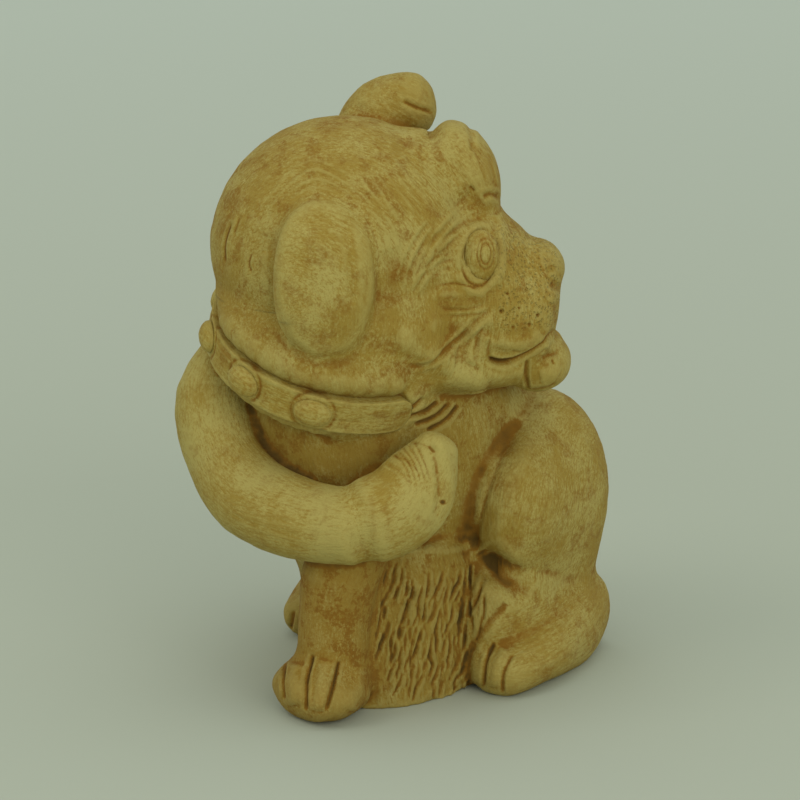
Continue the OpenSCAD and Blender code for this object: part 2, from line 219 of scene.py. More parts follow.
def meeting(a, b, rounds):
    """How near each point lies to the joint of two forms, from 1 on it down to 0."""
    ia, ib = (np.isin(form, [LUTED.index(n) for n in names.split()]) for names in (a, b))
    hit = (ia[pairs[:, 0]] & ib[pairs[:, 1]]) | (ib[pairs[:, 0]] & ia[pairs[:, 1]])
    near = np.bincount(pairs[hit].ravel(), minlength=len(co)) > 0
    share = near * 1.0
    for _ in range(rounds):
        share = np.maximum(share, around(share, pairs, count))
    return np.clip(share * 1.6, 0, 1)


# Slip and extra clay thumbed into the joints that don't show on the finished figure
for a, b, rounds, strokes in (("brow_tuft", "head", 9, 34), ("right_ear", "head neck", 6, 30),
                              ("lower_jaw", "head neck", 10, 90), ("nose", "head", 4, 8),
                              ("left_foreleg", "belly_fur left_forepaw", 10, 60),
                              ("left_haunch", "left_hind_foot", 10, 70),
                              ("right_haunch", "right_hind_foot", 8, 40),
                              ("right_foreleg", "right_forepaw", 6, 16),
                              ("belly_fur", "left_haunch left_hind_foot", 5, 16),
                              ("left_ear", "head", 6, 34), ("head", "neck neck_folds", 9, 30)):
    share = meeting(a, b, rounds)
    for _ in range(strokes):
        co = co + (around(co, pairs, count) - co) * (0.7 * share)[:, None]
put_back(rough.data, co)
applied(rough, "REMESH", mode="VOXEL", voxel_size=FINE)

# Only the outer skin shows: the closed hollow inside has a skin of its own
pairs = edge_pairs(rough.data)
co = places(rough.data)
shell = np.arange(len(co))
while True:
    low = np.minimum(shell[pairs[:, 0]], shell[pairs[:, 1]])
    before = shell.copy()
    np.minimum.at(shell, pairs[:, 0], low)
    np.minimum.at(shell, pairs[:, 1], low)
    shell = shell[shell]
    if np.array_equal(before, shell):
        break
outer = shell == shell[co[:, 2].argmax()]
faces = face_corners(rough.data)
new_index = np.cumsum(outer) - 1
faces = new_index[faces[outer[faces[:, 0]]]]
pairs = new_index[pairs[outer[pairs[:, 0]]]]
clay = co[outer] * 1000.0
bpy.data.objects.remove(rough)
count = neighbours(pairs, clay)
clay = smeared(clay, pairs, 3)

form = nearest_form(clay / 1000.0)
for _ in range(6):
    votes = np.stack([around((form == k) * 1.0, pairs, count) for k in range(len(LUTED))], 1)
    votes[np.arange(len(form)), form] += 0.25
    form = votes.argmax(1).astype(np.int32)


def on(*names):
    """Which points of the skin belong to these forms."""
    return np.isin(form, [LUTED.index(n) for n in names])


def facing_out(co, quads):
    """Unit normals of a skin."""
    a, b, c, d = (co[quads[:, k]] for k in range(4))
    face = np.cross(c - a, d - b)
    n = np.stack([sum(np.bincount(quads[:, k], face[:, j], len(co)) for k in range(4))
                  for j in range(3)], 1)
    return n / np.maximum(np.linalg.norm(n, axis=1), 1e-9)[:, None]


# ---------------------------------------------------------------------------
# The modelling tools. A wooden tool draws grooves, ridges and pricks into the
# leather-hard skin; each is drawn as seen square on to the dog's cheek, in mm
# from the middle of the figure, and the stain later settles in it.
# ---------------------------------------------------------------------------
middle = Vector(((cad_box[0][0] + cad_box[1][0]) / 2, (cad_box[0][1] + cad_box[1][1]) / 2, 0))
LOOK = np.array([middle.x * 1000 + 9.5, middle.y * 1000 - 10.3, 96.6])
AZIMUTH, ELEVATION, DISTANCE = math.radians(45), math.radians(15), 1200.0
back = np.array([math.sin(AZIMUTH) * math.cos(ELEVATION),
                 -math.cos(AZIMUTH) * math.cos(ELEVATION), math.sin(ELEVATION)])
right = np.array([math.cos(AZIMUTH), math.sin(AZIMUTH), 0.0])
up = np.cross(back, right)
stand = LOOK + back * DISTANCE

HEAD_FORMS = ("head", "lower_jaw", "chin", "nose", "brow_tuft", "right_ear", "left_ear",
              "neck_folds")


def over_head(v, point=True):
    """A point or direction reflected to the other side of the head."""
    w = (v - head_mid) if point else v
    return v - 2 * (w @ left_way)[:, None] * left_way


def over_body(v, point=True):
    return v * np.array([-1.0, 1.0, 1.0])


def drawn(v):
    d = v - stand
    depth = -(d @ back)
    return np.stack([d @ right, d @ up], 1) / depth[:, None] * DISTANCE


def look_again():
    """Takes the skin's shape as it now is, and where each point is seen from each side."""
    global normal, sides
    normal = facing_out(clay, faces)
    sides = {}
    for name, turned in (("seen", None), ("head", over_head), ("body", over_body)):
        p, n = (clay, normal) if turned is None else (turned(clay), turned(normal, False))
        to_eye = stand - p
        to_eye = to_eye / np.linalg.norm(to_eye, axis=1)[:, None]
        front = np.clip(((n * to_eye).sum(1) - 0.02) / 0.25, 0, 1)
        sides[name] = (drawn(p), front)


def line_through(points, parts=5):
    """A smooth line through given points."""
    p = np.array(points, float)
    if len(p) < 3:
        t = np.linspace(0, 1, 5)[:, None]
        return p[:1] * (1 - t) + p[-1:] * t
    q = np.vstack([2 * p[0] - p[1], p, 2 * p[-1] - p[-2]])
    out = []
    for i in range(1, len(q) - 2):
        a, b, c, d = q[i - 1], q[i], q[i + 1], q[i + 2]
        for t in np.linspace(0, 1, parts, endpoint=False):
            out.append((2 * b + (c - a) * t + (2 * a - 5 * b + 4 * c - d) * t * t
                        + (3 * b - a - 3 * c + d) * t ** 3) / 2)
    out.append(q[-2])
    return np.array(out)


def reach(line, at):
    """Distance from each place to the line, and the share of the line passed there."""
    best = np.full(len(at), 1e9)
    share = np.zeros(len(at))
    for i in range(len(line) - 1):
        a, d = line[i], line[i + 1] - line[i]
        t = np.clip(((at - a) @ d) / max(d @ d, 1e-9), 0, 1)
        dist = np.linalg.norm(at - a - t[:, None] * d, axis=1)
        near = dist < best
        best[near], share[near] = dist[near], ((i + t) / (len(line) - 1))[near]
    return best, share


look_again()
rise = np.zeros(len(clay))
stain = np.zeros(len(clay))


def carve(where, points, width, depth, dark=0.8, both=None, ends=0.12, lip=0.25):
    """Draws a groove (or with a negative depth raises a ridge) along the points."""
    line = line_through(points)
    for side in ["seen"] + ([both] if both else []):
        at, front = sides[side]
        low, high = line.min(0) - 3 * width, line.max(0) + 3 * width
        pick = np.nonzero(where & (front > 0) & (at >= low).all(1) & (at <= high).all(1))[0]
        if len(pick) == 0:
            continue
        dist, share = reach(line, at[pick])
        fade = np.clip(np.minimum(share, 1 - share) / max(ends, 1e-6), 0, 1) ** 0.6 if ends else 1
        cut = np.exp(-(dist / width) ** 2) * front[pick] * fade
        shoulder = np.exp(-((dist - 1.9 * width) / (0.7 * width)) ** 2) * front[pick] * fade
        rise[pick] += -depth * cut + (lip * depth * shoulder if depth > 0 else 0)
        stain[pick] = np.maximum(stain[pick], dark * cut ** 2) if depth > 0 else stain[pick]


def prick(where, points, radius, depth, dark=0.9, both=None):
    for side in ["seen"] + ([both] if both else []):
        at, front = sides[side]
        for p in points:
            dist = np.linalg.norm(at - np.array(p, float), axis=1)
            pick = np.nonzero(where & (front > 0.2) & (dist < 3 * radius))[0]
            cut = np.exp(-(dist[pick] / radius) ** 4)
            burr = np.exp(-((dist[pick] - 1.7 * radius) / (0.5 * radius)) ** 2)
            rise[pick] -= depth * cut - 0.12 * depth * burr
            stain[pick] = np.maximum(stain[pick], dark * cut)


def seam(a, b, width, depth, dark=0.8):
    """Works a groove along the joint of two forms."""
    ia, ib = on(*a), on(*b)
    ea = (ia[pairs[:, 0]] & ib[pairs[:, 1]]) | (ib[pairs[:, 0]] & ia[pairs[:, 1]])
    joint = np.unique(pairs[ea].ravel())
    tree = kdtree.KDTree(len(joint))
    for k, j in enumerate(joint):
        tree.insert(clay[j], k)
    tree.balance()
    low, high = clay[joint].min(0) - 3 * width, clay[joint].max(0) + 3 * width
    pick = np.nonzero((ia | ib) & (clay >= low).all(1) & (clay <= high).all(1))[0]
    dist = np.array([tree.find(p)[2] for p in clay[pick].tolist()])
    cut = np.exp(-(dist / width) ** 2)
    rise[pick] -= depth * cut
    stain[pick] = np.maximum(stain[pick], dark * cut)


def settle():
    """Presses what was drawn into the skin, and softens it a little."""
    global clay, rise
    clay = smeared(clay + normal * rise[:, None], pairs, 1)
    rise = np.zeros(len(clay))
    look_again()


def mottled(p, seed=0):
    """Smooth noise from -1 to 1 at each place, one bump to a unit of distance."""
    cell = np.floor(p).astype(np.int64)
    t = p - cell
    t = t * t * (3 - 2 * t)
    total = np.zeros(len(p))
    for i in (0, 1):
        for j in (0, 1):
            for k in (0, 1):
                h = ((cell[:, 0] + i) * 73856093) ^ ((cell[:, 1] + j) * 19349663) \
                    ^ ((cell[:, 2] + k) * 83492791) ^ (seed * 2654435761)
                h = (h ^ (h >> 13)) * 1274126177
                value = ((h ^ (h >> 16)) & 0xFFFF) / 32767.5 - 1
                w = (t[:, 0] if i else 1 - t[:, 0]) * (t[:, 1] if j else 1 - t[:, 1]) \
                    * (t[:, 2] if k else 1 - t[:, 2])
                total += value * w
    return total


# ---------------------------------------------------------------------------
# Ears. The right one is a flat lobe of clay laid down the side of the head,
# with a thinner oval pressed on top of it and a rim left in front; the left
# one stands up as a thick fold behind the crown.
# ---------------------------------------------------------------------------
ear = on("right_ear")
ear_side = ear | on("head", "neck")


def oval_pad(where, centre, radii, height, edge, dark):
    """Presses on a flat oval pad, its edge a small soft step."""
    at, front = sides["seen"]
    d = (at - np.array(centre, float)) / np.array(radii, float)
    far = (np.abs(d[:, 0]) ** 2.4 + np.abs(d[:, 1]) ** 2.4) ** (1 / 2.4)
    gap = (far - 1) * min(radii)
    step = 1 / (1 + np.exp(np.clip(gap / edge, -30, 30)))
    lip = np.exp(-((gap - edge) / edge) ** 2)
    rise[:] += np.where(where, height * (step - 0.6 * lip) * front, 0)
    left = dark * np.exp(-((gap - edge) / (1.2 * edge)) ** 2) * front
    stain[:] = np.maximum(stain, np.where(where, left, 0))


oval_pad(ear_side, (-25.5, 40.2), (16.4, 25.2), 1.0, 1.7, 0.12)
for points, *tool in (([(-45, 50), (-44.5, 40), (-42, 28), (-36, 18)], 2.6, -0.5),
                      ([(-42.5, 44), (-41.5, 32), (-37, 21), (-29.5, 14.5)], 1.2, 0.4, 0.2),
                      ([(-19, 58), (-16.5, 50), (-16, 40), (-16.5, 32)], 1.5, 0.4, 0.1)):
    carve(ear_side, points, *tool)
carve(ear_side, [(-38, 52), (-30, 44), (-31, 30)], 4.0, 0.5, 0.1, ends=0.3)
carve(ear_side, [(-43, 54), (-37, 63), (-27, 66.5), (-17, 63)], 3.4, -0.6)
for shift in (0, 2.6, 5.4, 8.5):
    carve(on("head"), [(-42 - shift, 58), (-36, 67 + shift), (-25, 70 + shift), (-12 + shift, 62),
                       (-6 + shift, 47)], 0.8, 0.26, 0.16, both="head")
# a shallow hollow in front of the ear, darkened with painted shade, and fine drying cracks behind it
carve(on("head"), [(-4, 51), (-2, 43), (-4, 33)], 4.2, 1.1, 0.35, ends=0.3)
for points, *tool in (([(-57, 60), (-59, 53), (-59, 46)], 0.5, 0.5, 0.8),
                      ([(-50, 50), (-51, 46), (-50, 43)], 0.45, 0.4, 0.7),
                      ([(-54, 62), (-56, 56)], 0.45, 0.3, 0.6)):
    carve(on("head"), points, *tool)
lobe = on("left_ear")
seam(("left_ear",), ("head",), 1.5, 0.7, 0.35)
carve(lobe | on("head"), [(1, 101), (5, 99), (11, 97)], 0.8, 0.7, 0.7)
carve(lobe, [(-14, 103), (-6, 109), (3, 110)], 1.6, 0.25, 0.1)
carve(lobe | on("head"), [(-16, 99), (-8, 95), (4, 93)], 1.8, 0.5, 0.35)

# ---------------------------------------------------------------------------
# Brow tuft. A small roll and a longer one of clay folded forward over the
# forehead, pinched at the foot and drawn over with a fine tool.
# ---------------------------------------------------------------------------
tuft = on("brow_tuft", "head")
carve(tuft, [(3, 87), (9, 82), (15, 76), (22, 69)], 4.2, -1.5, both="head")
carve(tuft, [(15, 91), (18.5, 92.5), (21, 91)], 2.0, -0.3, both="head")
for side in ("seen", "head"):
    # thumbed down between the ear and the small roll
    pressed = np.exp(-((sides[side][0] - [9.5, 94.5]) ** 2 / np.array([4.2, 5.0]) ** 2).sum(1))
    rise -= 2.4 * pressed * tuft * (normal[:, 2] > 0)
for points, *tool in (([(23, 93), (24.5, 89), (24.5, 84)], 0.9, 0.6, 0.3),
                      ([(28, 68.5), (31, 69.5), (34.5, 68)], 1.0, 0.7, 0.6),
                      ([(23.5, 72.5), (25, 70.5)], 0.5, 0.6, 0.8)):
    carve(tuft, points, *tool, both="head")
for shift in range(8):
    carve(tuft, [(22 + shift, 90 - shift), (26.5 + 0.6 * shift, 81), (29.5 + 0.5 * shift, 70)],
          0.5, 0.17, 0.22, both="head")
for shift in range(11):
    carve(tuft, [(9 - 2.6 * shift, 86 - 0.8 * shift), (14 - 2.4 * shift, 80 - 1.2 * shift),
                 (20 - 2.3 * shift, 73 - 1.5 * shift)], 0.6, 0.14, 0.10, both="head")

# ---------------------------------------------------------------------------
# Eye rims. Soft folds laid round each eyeball, fanning out over the brow and
# back to the temple like creased skin.
# ---------------------------------------------------------------------------
skull = on("head", "nose")
for points, *tool in (([(19.5, 44), (20.3, 50.5), (23.5, 56), (27.5, 59), (31.5, 58)], 1.6, -1.1),
                      ([(19.8, 43), (22.5, 38), (27, 36.4), (31, 39.5), (32.8, 44)], 1.5, -1.0),
                      ([(31, 66), (34.2, 58), (34.2, 47), (33, 38)], 1.9, -0.9),
                      ([(32.6, 57), (33.4, 50), (32.8, 42)], 1.2, -1.3),
                      ([(20.8, 46), (21.4, 50.5), (24, 55), (27, 57), (30.4, 56.3)], 0.6, 0.5, 0.4),
                      ([(21.2, 45.5), (22.2, 41.4), (24.6, 39), (27.3, 38.6), (30.2, 41.4),
                        (31.6, 46)], 0.6, 0.7, 0.75)):
    carve(skull, points, *tool, both="head")
for points in ([(10.5, 47.5), (13.7, 52.5), (18.5, 57), (24, 60.5), (28, 62)],
               [(8, 43.5), (12.5, 48.5), (16.5, 52.5), (18.5, 55)],
               [(14, 58), (20, 63.5), (25.7, 65.8), (30, 64)],
               [(15, 54.5), (21, 60), (26, 63), (30, 62.5)],
               [(9, 51), (13, 56), (18, 60.5), (24, 64)],
               [(6, 40), (11, 44), (15, 46.5), (18, 47.5)],
               [(4, 36), (7, 40), (9, 44)], [(0, 38), (2, 46), (5, 53), (10, 60)],
               [(11, 42), (14, 44), (17.5, 44.5)], [(3, 42), (6, 49), (10, 55.5)]):
    carve(skull, points, 0.7, 0.3, 0.22, both="head", lip=0.6)
for points, *tool in (([(12, 56), (18, 61.5), (24, 64.5)], 1.6, -0.45),
                      ([(12, 50.5), (17, 55), (22, 59)], 1.5, -0.4),
                      ([(9, 47), (12, 51), (15, 54)], 1.3, -0.4),
                      ([(13, 38.7), (18.5, 39.3), (23, 38.6), (26, 37.6)], 0.55, 0.4, 0.65),
                      ([(9, 35), (16, 36), (24, 35.5), (30, 34)], 1.8, -0.6)):
    carve(skull, points, *tool, both="head")

# ---------------------------------------------------------------------------
# Cheek and muzzle. Loose folds hang from the nose to the jowl like a
# moustache, the muzzle is stippled, and whisker holes are pricked in rows.
# ---------------------------------------------------------------------------
cheek = on("head", "lower_jaw", "nose", "chin")
for points, *tool in (([(-2, 22), (6, 17.5), (14, 12.5), (22, 8.5), (30, 6.5)], 4.6, -2.0),
                      ([(24, 12), (27, 17), (30, 22)], 3.0, -1.2),
                      ([(13, 31), (18, 30.4), (23, 30.6), (29, 32.4)], 0.6, 0.3, 0.5),
                      ([(16, 28), (22, 28.5), (29, 29.5)], 0.7, 0.25, 0.4)):
    carve(cheek, points, *tool, both="head")
for shift in range(6):
    carve(cheek, [(31 - 0.8 * shift, 30.5 - 0.9 * shift), (25 - 1.6 * shift, 27 - 1.7 * shift),
                  (20 - 2.6 * shift, 19.5 - 1.5 * shift), (18 - 3.1 * shift, 9 + 0.5 * shift)],
          0.85, 0.26, 0.16, both="head", lip=0.7)
for points, *tool in (([(32, 27), (27, 25), (23.5, 20), (23, 12)], 1.9, -0.8),
                      ([(25, 26), (19, 22), (15.5, 16), (14.5, 9)], 1.7, -0.6),
                      ([(15, 21.5), (10, 17), (7, 11)], 1.7, -0.5),
                      ([(28.6, 26), (25.8, 21), (25.3, 14), (26, 9)], 0.8, 0.4, 0.3),
                      ([(30.5, 21), (29.6, 18), (30, 14)], 0.8, 0.6, 0.4),
                      ([(16, 12), (18, 18), (22, 23), (28, 26)], 1.5, -0.6),
                      ([(20, 10), (21, 16), (24, 21), (28, 24)], 0.7, 0.35, 0.25)):
    carve(cheek, points, *tool, both="head")
prick(cheek, [(36.4, 36), (40.2, 31), (43.7, 25.5), (38.2, 24.5)], 0.5, 0.9, 0.8, both="head")
prick(cheek, [(34.3, 29.9), (46.6, 28.7)], 0.62, 1.0, 0.8, both="head")

# ---------------------------------------------------------------------------
# Nose, mouth and chin. The nose is a broad pad with a faint edge, notched
# underneath; the mouth is a fine slit cut back under the full upper lip; the
# chin is a block with a groove down its side.
# ---------------------------------------------------------------------------
for points, *tool in (([(45, 53), (46, 47), (50, 41), (53, 38.5)], 1.2, 0.3, 0.2),
                      ([(51, 39.6), (53.5, 38), (55, 37)], 1.2, 0.6, 0.12),
                      ([(49.5, 45), (51, 44), (52, 45.5)], 1.1, 0.35, 0.1),
                      ([(50, 33), (52.5, 35), (54, 34)], 1.6, -0.6),
                      ([(32, 20.5), (37, 18.8), (43, 19.6), (48, 22.5)], 2.4, -1.1),
                      ([(29.3, 14.3), (33, 13), (37, 13.2), (41, 14.8), (45, 17), (49.3, 20.4),
                        (52, 24)], 0.7, 1.3, 0.85),
                      ([(30, 13.9), (33.5, 12.8), (38, 13.2)], 0.95, 1.1, 0.95),
                      ([(37, 17.2), (40, 16.4), (43, 17.4)], 0.5, 0.3, 0.3),
                      ([(29, 8.5), (34, 8.8), (39, 9.5), (41.5, 9)], 2.8, -1.4),
                      ([(47, 8), (51, 9), (53, 8)], 2.6, -0.7),
                      ([(49, 17), (52, 19), (54, 21)], 1.8, -0.8),
                      ([(53.5, 16), (50.5, 15.3), (48, 14)], 0.8, 0.7, 0.4),
                      ([(42.9, 13.5), (42.6, 8), (43.2, 3.2)], 0.6, 1.0, 0.65),
                      ([(40.5, 3.5), (45, 3.2), (50, 4.2), (53, 6)], 0.7, 0.5, 0.4),
                      ([(51.2, 14), (51.8, 12)], 0.5, 0.5, 0.6)):
    carve(cheek, points, *tool, both="head")
settle()

# ---------------------------------------------------------------------------
# Neck folds. Short rolls squeezed up where the head turns back over the
# shoulder, cut apart with the edge of the tool.
# ---------------------------------------------------------------------------
throat = on("neck_folds", "neck", "trunk", "head", "lower_jaw", "left_foreleg")
for start_at, end_at in (((2, -6), (13, -0.5)), ((5, -8.5), (17, -1)), ((9, -10.5), (20, -1.5)),
                         ((-1, -3.5), (8, 0.5))):
    between = ((start_at[0] + end_at[0]) / 2 + 1, (start_at[1] + end_at[1]) / 2 - 0.8)
    carve(throat, [start_at, between, end_at], 0.75, 1.1, 0.75)

# ---------------------------------------------------------------------------
# The raised right foreleg. A coil wrapped round the chest from the shoulder,
# smoothed along its length; the paw at its end is a flat mitt with a ridge
# down its outer edge, propped against the neck.
# ---------------------------------------------------------------------------
seam(("right_foreleg", "right_forepaw"), ("trunk", "neck", "left_foreleg"), 1.5, 0.5, 0.45)
mitt = on("right_forepaw", "right_foreleg")
carve(mitt, [(12, -12), (15, -18), (17, -27), (16.5, -38), (12, -46)], 1.5, -0.6)
carve(mitt, [(9, -13), (12, -21), (13.2, -30), (12, -40)], 1.1, 0.5, 0.25)
for shift in range(5):
    carve(mitt, [(-5 + 2.4 * shift, -16 + 0.6 * shift), (1 + 1.8 * shift, -21), (4 + 1.6 * shift, -28)],
          0.5, 0.3, 0.4)
for points, *tool in (([(-3, -18), (2, -20), (6, -24)], 0.8, 0.4, 0.3),
                      ([(-5, -21), (0, -24), (4, -29)], 0.7, 0.3, 0.25),
                      ([(2, -14), (8, -15), (13, -18)], 0.7, 0.35, 0.3)):
    carve(mitt, points, *tool)
prick(mitt, [(14.5, -34.5)], 0.9, 0.3, 0.9)
carve(mitt, [(-10, -31), (-9, -40), (-9, -49)], 2.4, 0.15, 0.25)
carve(mitt, [(-5, -33), (-4, -41), (-4, -49)], 1.6, 0.12, 0.2)

# ---------------------------------------------------------------------------
# The standing foreleg, the paws and the hind feet. Toes are cut in with the
# edge of the tool: three cuts on the standing forepaw, two on the left hind
# foot and one on the right.
# ---------------------------------------------------------------------------
paw = on("left_forepaw", "left_foreleg")
for points, *tool in (([(-38.5, -88), (-39.5, -94), (-39, -101)], 0.65, 1.2, 0.85),
                      ([(-29.5, -86), (-31.5, -95), (-31.8, -105)], 0.7, 1.3, 0.85),
                      ([(-20.5, -88), (-22.5, -96), (-25, -105)], 0.7, 1.3, 0.85)):
    carve(paw, points, *tool, ends=0.1)
carve(paw, [(-13, -90), (-14, -98), (-17, -105)], 2.2, -0.7)
for line in ([(-35, -89), (-36, -95), (-35, -103)], [(-25, -88), (-26.5, -96), (-27, -105)]):
    carve(paw, line, 2.5, -1.1)
hind = on("left_hind_foot")
carve(hind, [(32, -82), (29, -88), (28, -97)], 0.65, 0.9, 0.85, both="body", ends=0.1)
carve(hind, [(38, -86), (35, -92), (34.5, -99)], 0.6, 0.7, 0.8, both="body", ends=0.1)
carve(on("right_hind_foot"), [(-36, -71), (-37, -77), (-38, -84)], 0.7, 0.9, 0.8)
carve(hind, [(35.5, -84), (32.5, -90), (31.5, -97)], 1.8, -0.7, both="body")
carve(hind, [(28, -82), (25.5, -88), (25.5, -96)], 1.8, -0.6, both="body")
seam(("left_hind_foot",), ("belly_fur",), 1.2, 0.6, 0.5)
seam(("right_hind_foot", "right_haunch"), ("trunk", "belly_fur"), 1.8, 1.1, 0.5)

# ---------------------------------------------------------------------------
# Haunches. Thick pads of clay pressed on the sides of the trunk, with a soft
# valley worked round in front of the thigh and a deep one over the foot.
# ---------------------------------------------------------------------------
flank = on("left_haunch", "trunk", "left_hind_foot", "belly_fur", "right_haunch")
carve(flank, [(40, -6), (35, -16), (31, -26), (27, -37), (25, -46), (27, -53)],
      4.2, 1.3, 0.18, both="body", ends=0.12)
carve(flank, [(37, -12), (31, -25), (27, -37), (25, -46), (27, -53), (34, -57.5), (42, -59.5)],
      1.0, 0.35, 0.2, both="body", ends=0.2)
# the deep valley over the foot holds stain and is darkened further with painted shade, where the thigh
# shades the foot
carve(flank, [(27, -51), (32, -57), (38, -61.5), (44, -65)], 4.0, 3.6, 0.75, both="body", ends=0.3)
settle()

# ---------------------------------------------------------------------------
# Belly fur. The skirt of clay between the legs is torn up with short upright
# flame-shaped gouges, deepest by the haunch, and runs out smooth at the leg.
# ---------------------------------------------------------------------------
fur = on("belly_fur")
at_seen = sides["seen"][0]
fur_share = fur * 1.0
for _ in range(16):
    fur_share = around(fur_share, pairs, count)
sideways = np.clip(1.2 - np.abs(normal[:, 2]) * 1.4, 0, 1)
bend = 0.5 * np.stack([mottled(clay * 0.11, 5), mottled(clay * 0.11, 6), np.zeros(len(clay))], 1)
tuft_grain = np.stack([clay[:, 0] + 0.15 * clay[:, 2], clay[:, 1] - 0.1 * clay[:, 2],
                       clay[:, 2] * 0.24], 1)
flames = np.clip(1 - np.abs(mottled(tuft_grain * 0.42 + bend, 3)) * 2.6, 0, 1)
hairs = np.clip(1 - np.abs(mottled(tuft_grain * 1.1 + bend, 4)) * 2.6, 0, 1)
torn = (0.3 * flames + 0.45 * hairs) * fur_share * sideways
torn *= np.clip((at_seen[:, 0] + 16) / 14, 0.1, 1)
rise -= 0.4 * torn
stain = np.maximum(stain, 0.2 * torn)
tears = np.random.default_rng(11)
for _ in range(190):
    x, y = tears.uniform(-12, 30), tears.uniform(-98, -54)
    if x < -12 - (y + 54) * 0.2:
        continue
    long, lean = tears.uniform(4, 11), tears.uniform(-0.45, 0.02)
    halfway = (x + lean * long * 0.4 + tears.uniform(-0.4, 0.4), y - long * 0.5)
    width, depth = tears.uniform(0.4, 0.65), tears.uniform(0.35, 0.8)
    dark = tears.uniform(0.15, 0.75) ** 1.3
    carve(fur, [(x, y), halfway, (x + lean * long, y - long)], width, depth, dark, ends=0.4, lip=0.5)
carve(fur | on("left_foreleg", "trunk"), [(8, -50.5), (16, -51), (24, -48.5)], 1.7, -0.7)
settle()

# ---------------------------------------------------------------------------
# The whole skin. The damp clay is scraped and brushed along each form, which
# leaves it softly uneven, ribbed with fine streaks and pitted by grog.
# ---------------------------------------------------------------------------
limbs = {
    "right_foreleg": [(-38, -42, 116), (-35, -56, 98), (-23, -64, 82), (-5, -66, 71),
                      (18, -64, 68), (40, -57, 68), (46, -44, 74), (50, -32, 92)],
    "left_foreleg": [(21, -54, 0), (21, -54, 30), (24, -50, 52), (30, -38, 72), (36, -28, 90)],
    "left_hind_foot": [(47, -8, 8), (50, 15, 10), (44, 40, 14), (34, 60, 18)],
    "right_hind_foot": [(-47, -12, 8), (-50, 12, 10), (-44, 40, 14), (-34, 60, 18)],
    "left_haunch": [(40, 4, 22), (34, 10, 60), (34, 28, 96), (30, 60, 100)],
    "right_haunch": [(-40, 4, 22), (-34, 10, 60), (-34, 28, 96), (-30, 60, 100)],
}
limbs["right_forepaw"] = limbs["right_foreleg"]
limbs["left_forepaw"] = limbs["left_foreleg"]
grain = np.empty((len(clay), 3))
for index, n in enumerate(LUTED):
    pick = np.nonzero(form == index)[0]
    p = clay[pick]
    if n in limbs:
        line = line_through(limbs[n], 6)
        way = np.gradient(line, axis=0)
        way /= np.linalg.norm(way, axis=1)[:, None]
        side = np.cross(way[0], [0.3, 0.9, 0.2])
        frames = []
        for w in way:
            side = side - (side @ w) * w
            side /= np.linalg.norm(side)
            frames.append((side, np.cross(w, side)))
        along = np.concatenate([[0], np.cumsum(np.linalg.norm(np.diff(line, axis=0), axis=1))])
        near = np.argmin(((p[:, None, :] - line[None]) ** 2).sum(2), axis=1)
        off = p - line[near]
        first = np.array([f[0] for f in frames])[near]
        second = np.array([f[1] for f in frames])[near]
        grain[pick] = np.stack([(off * first).sum(1), (off * second).sum(1),
                                along[near] + (off * way[near]).sum(1)], 1)
    elif n in HEAD_FORMS:
        q = p - (head_mid + np.array([-8.0, -8.0, -14.0]))
        f, l, z = q @ muzzle_way, q @ left_way, q[:, 2]
        grain[pick] = np.stack([np.hypot(f, z), l, np.arctan2(z, f) * 42.0], 1)
    else:
        grain[pick] = np.stack([p[:, 0], p[:, 1] + 0.25 * p[:, 2], p[:, 2]], 1)
# the brushing crosses a joint without a break
across = form[pairs[:, 0]] != form[pairs[:, 1]]
calm = (np.bincount(pairs[across].ravel(), minlength=len(clay)) > 0) * 1.0
for _ in range(9):
    calm = np.maximum(calm, around(calm, pairs, count))
calm = np.clip(calm * 1.5, 0, 1)
streak = mottled(grain * np.array([0.7, 0.7, 0.06]), 1) * 0.5 \
    + mottled(grain * np.array([1.5, 1.5, 0.11]), 2) * 0.5
lumps = mottled(clay * 0.085, 7) * 0.6 + mottled(clay * 0.2, 8) * 0.3
rise += 0.11 * streak * (1 - calm) + 0.32 * lumps
# the muzzle is stippled with a stiff brush
stipple = cheek * np.exp(-(np.maximum(np.abs(at_seen[:, 0] - 44) - 8, 0) / 4) ** 2
                         - (np.maximum(np.abs(at_seen[:, 1] - 42) - 15, 0) / 4) ** 2)
# the wash was rubbed off the arm and left on the standing leg and under the head
soaked = {"left_foreleg": 0.75, "left_forepaw": 0.6, "belly_fur": 0.3, "trunk": 0.25, "neck": 0.15,
          "right_foreleg": -0.35, "right_forepaw": -0.3, "head": 0.12, "lower_jaw": 0.0,
          "brow_tuft": 0.15, "nose": 0.15, "left_ear": 0.15, "right_ear": -0.1,
          "left_hind_foot": 0.1, "right_hind_foot": 0.3}
soak = np.array([soaked.get(n, 0.0) for n in LUTED])[form]
for _ in range(30):
    soak = around(soak, pairs, count)
clay = clay + normal * rise[:, None]
low_z = cad_box[0][2] * 1000
clay[:, 2] = np.maximum(clay[:, 2], low_z)

# Where the stain lies and where shade is painted: in what was cut, and in every hollow that a rag can't
# reach; the hollows are also darkened with painted shade, most where they are deep
normal = facing_out(clay, faces)
soft = clay
hollow = np.zeros(len(clay))
for rounds, scale in ((4, 5.0), (14, 1.6), (40, 0.5)):
    for _ in range(rounds):
        soft = around(soft, pairs, count)
    hollow += np.clip(((soft - clay) * normal).sum(1) * scale, -1, 1) / 3
# the stain and the painted shade in the hollows are kept fainter on the head
faint = on(*HEAD_FORMS) * 1.0
for _ in range(12):
    faint = around(faint, pairs, count)
hollow = np.where(hollow > 0, hollow * (1 - 0.55 * faint), hollow)

